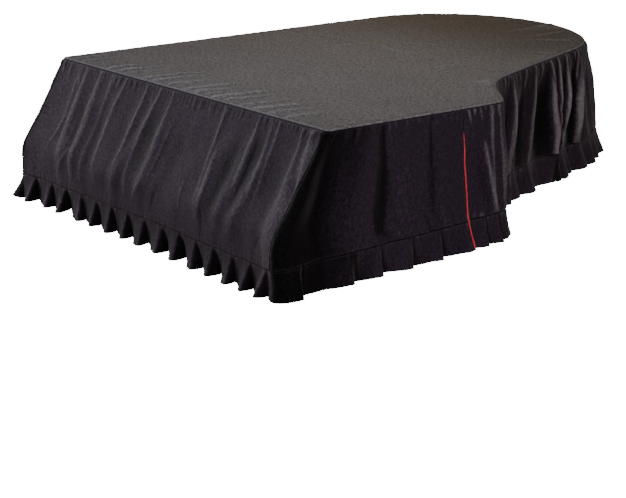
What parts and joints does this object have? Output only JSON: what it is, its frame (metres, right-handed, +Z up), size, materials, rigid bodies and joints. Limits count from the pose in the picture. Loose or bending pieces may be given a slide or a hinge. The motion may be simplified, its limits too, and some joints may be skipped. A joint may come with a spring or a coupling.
{
  "type": "grand piano cover",
  "caption": "Fitted cloth cover for a grand piano: a flat top cut to the lid, hanging side panels with folds, a pleated frill round the hem, and a slit in one side.",
  "frame": {"origin": "middle of the top's underside, midway along the lid and on the keyboard's centre line, where it lies on the lid", "axes": "+X towards the treble end of the keyboard, +Y from the keyboard to the tail, +Z up"},
  "size_m": [1.5761, 1.8364, 0.4307],
  "materials": {
    "black_cloth": "matte, brushed on the reverse",
    "red_reverse": "matte, brushed"
  },
  "bodies": {
    "root": {"top_panel": "black_cloth", "apron_front": "black_cloth", "skirt_treble": "black_cloth", "skirt_bentside": "black_cloth", "skirt_tail": "black_cloth", "skirt_bass": "black_cloth", "frill_front": "black_cloth", "frill_treble": "black_cloth", "frill_bentside": "black_cloth", "frill_tail": "black_cloth", "frill_bass": "black_cloth", "slit_edge": "red_reverse"}
  },
  "joints": []
}
